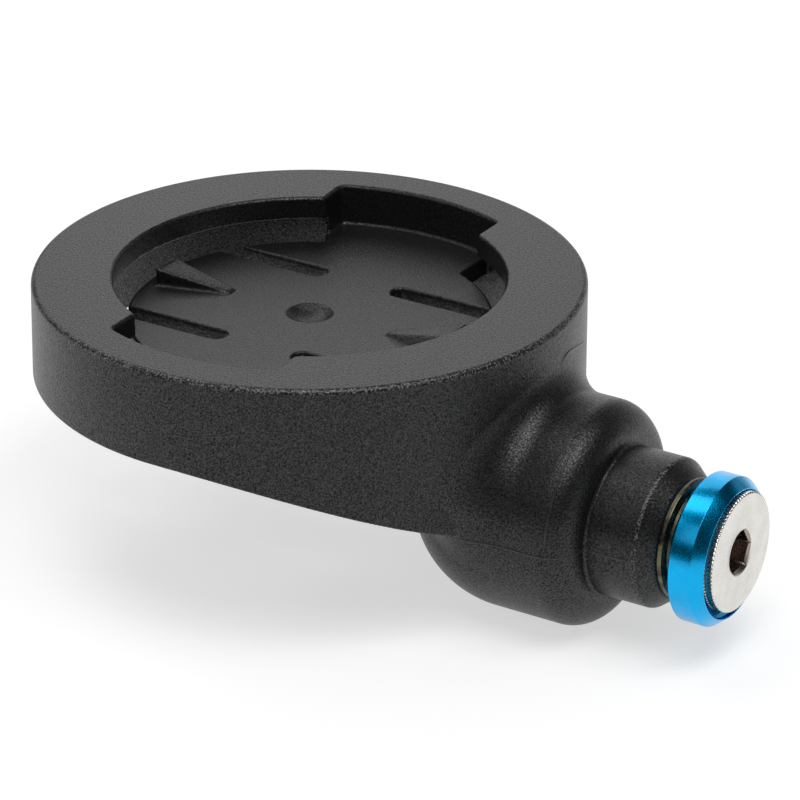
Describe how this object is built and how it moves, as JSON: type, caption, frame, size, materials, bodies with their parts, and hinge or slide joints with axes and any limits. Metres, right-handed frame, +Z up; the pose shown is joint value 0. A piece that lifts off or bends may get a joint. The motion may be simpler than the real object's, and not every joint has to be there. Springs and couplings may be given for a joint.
{
  "type": "quarter-turn cycling computer mount",
  "caption": "Round quarter-turn socket that holds a cycling computer, with a side boss whose stub is drawn into a clamp by a countersunk bolt and a cup washer.",
  "frame": {"origin": "centre of the bezel's top face, on the socket's axis", "axes": "+Z up out of the socket, +X along the clamp bolt towards its head, +Y completes the right-handed frame"},
  "size_m": [0.0608, 0.0438, 0.0229],
  "materials": {
    "body_plastic": "fine spark-eroded grain",
    "insert_metal": "olive passivated, turned",
    "bolt_steel": "bright, zinc plated",
    "washer_blue": "blue anodised"
  },
  "bodies": {
    "mount": {"mount_body": "body_plastic", "threaded_insert": "insert_metal"},
    "tongue_near": {"tongue_bolt_side": "body_plastic"},
    "tongue_far": {"tongue_far_side": "body_plastic"},
    "washer": {"cup_washer": "washer_blue"},
    "bolt": {"clamp_bolt": "bolt_steel"}
  },
  "joints": [
    {"name": "tongue_near_flex", "type": "hinge", "parent": "mount", "child": "tongue_near", "pos_m": [0.00405, 0, -0.0042], "axis": [0, 1, 0], "range_deg": [0, 7], "stiffness_Nm_per_rad": 1.4},
    {"name": "tongue_far_flex", "type": "hinge", "parent": "mount", "child": "tongue_far", "pos_m": [-0.00405, 0, -0.0042], "axis": [0, -1, 0], "range_deg": [0, 7], "stiffness_Nm_per_rad": 1.4},
    {"name": "washer_travel", "type": "slide", "parent": "mount", "child": "washer", "axis": [1, 0, 0], "range_m": [-0.0008, 0.0152]},
    {"name": "bolt_turn", "type": "hinge", "parent": "washer", "child": "bolt", "pos_m": [0.036, 0, -0.01395], "axis": [1, 0, 0], "range_deg": [-360, 6840]}
  ],
  "couplings": [
    {"joint": "bolt_turn", "follows": "washer_travel", "rad_per_m": 7854}
  ]
}
